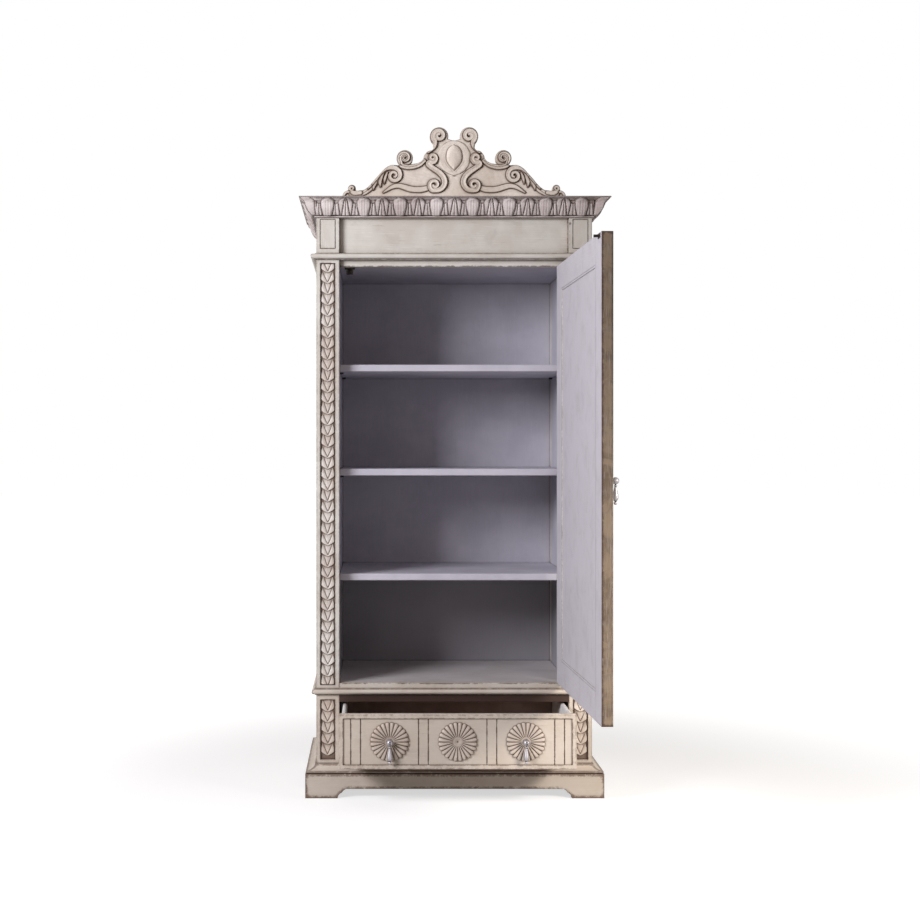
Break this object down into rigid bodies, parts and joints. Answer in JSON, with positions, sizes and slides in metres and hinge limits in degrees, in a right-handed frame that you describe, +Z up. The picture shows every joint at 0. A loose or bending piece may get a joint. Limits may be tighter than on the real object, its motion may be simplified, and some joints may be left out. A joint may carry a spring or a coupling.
{
  "type": "trastero cabinet",
  "caption": "Tall painted cabinet with a carved scrolled crest, a hinged door, fixed-height shelves, and a rosette drawer with drop pulls.",
  "frame": {"origin": "on the floor, under the middle of the whole object's box as it stands with its door open and its drawer drawn out", "axes": "+Z up, front towards -Y, +X to the right of someone facing the front"},
  "size_m": [0.99, 1.2384, 2.142],
  "materials": {
    "cream_paint": "Carved pine under antique cream paint with a brown glaze left in the recesses and rubbed off the edges, satin.",
    "grey_paint": "Pine boards under flat lavender grey paint, a little worn at the edges.",
    "pale_paint": "Smooth off-white painted wood, satin.",
    "dark_wood": "Dark brown stained wood, flat.",
    "pewter": "Bright antique pewter, lightly worn.",
    "dark_iron": "Dark bronzed iron, dull."
  },
  "bodies": {
    "cabinet": {"architrave_front": "cream_paint", "architrave_left": "cream_paint", "architrave_right": "cream_paint", "back_panel": "grey_paint", "back_post_left": "cream_paint", "back_post_right": "cream_paint", "base_moulding_front": "cream_paint", "base_moulding_left": "cream_paint", "base_moulding_right": "cream_paint", "catch": "dark_iron", "cornice_front": "cream_paint", "cornice_left": "cream_paint", "cornice_right": "cream_paint", "crest": "cream_paint", "cupboard_ceiling": "grey_paint", "cupboard_floor": "grey_paint", "drawer_runners": "dark_wood", "frame_hinge_leaves": "dark_iron", "frieze_board": "cream_paint", "front_post_left": "cream_paint", "front_post_right": "cream_paint", "head_rail": "cream_paint", "leaf_carvings": "cream_paint", "lower_rail": "cream_paint", "middle_rail": "cream_paint", "plinth_back": "cream_paint", "plinth_blocks": "dark_wood", "plinth_front": "cream_paint", "plinth_side_left": "cream_paint", "plinth_side_right": "cream_paint", "shelf_lower": "grey_paint", "shelf_middle": "grey_paint", "shelf_pins": "dark_iron", "shelf_upper": "grey_paint", "side_lining_left": "grey_paint", "side_lining_right": "grey_paint", "side_panel_left": "cream_paint", "side_panel_right": "cream_paint", "top_board": "cream_paint", "waist_moulding_front": "cream_paint", "waist_moulding_left": "cream_paint", "waist_moulding_right": "cream_paint"},
    "door": {"door_stile_hinge": "cream_paint", "door_stile_free": "cream_paint", "door_rail_bottom": "cream_paint", "door_rail_top": "cream_paint", "door_panel": "cream_paint", "door_strike": "dark_iron", "door_hinge_leaves": "dark_iron", "door_pull_rose": "pewter"},
    "drawer": {"drawer_front": "cream_paint", "drawer_side_left": "pale_paint", "drawer_side_right": "pale_paint", "drawer_back": "dark_wood", "drawer_bottom": "dark_wood", "drawer_rosettes": "cream_paint", "drawer_pull_roses": "pewter"},
    "door_drop": {"door_pull_drop": "pewter"},
    "drawer_drop_left": {"drawer_pull_drop_left": "pewter"},
    "drawer_drop_right": {"drawer_pull_drop_right": "pewter"}
  },
  "joints": [
    {"name": "door_hinge", "type": "hinge", "parent": "cabinet", "child": "door", "pos_m": [0.3665, 0.11321, 1], "axis": [0, 0, 1], "range_deg": [-92, 80]},
    {"name": "drawer_slide", "type": "slide", "parent": "cabinet", "child": "drawer", "axis": [0, -1, 0], "range_m": [-0.193, 0.16]},
    {"name": "door_drop_swing", "type": "hinge", "parent": "door", "child": "door_drop", "pos_m": [0.39928, -0.56756, 1.023], "axis": [0.0349, -0.9994, 0], "range_deg": [-3, 95]},
    {"name": "drawer_drop_left_swing", "type": "hinge", "parent": "drawer", "child": "drawer_drop_left", "pos_m": [-0.209, -0.08929, 0.21175], "axis": [-1, 0, 0], "range_deg": [-3, 95]},
    {"name": "drawer_drop_right_swing", "type": "hinge", "parent": "drawer", "child": "drawer_drop_right", "pos_m": [0.209, -0.08929, 0.21175], "axis": [-1, 0, 0], "range_deg": [-3, 95]}
  ]
}
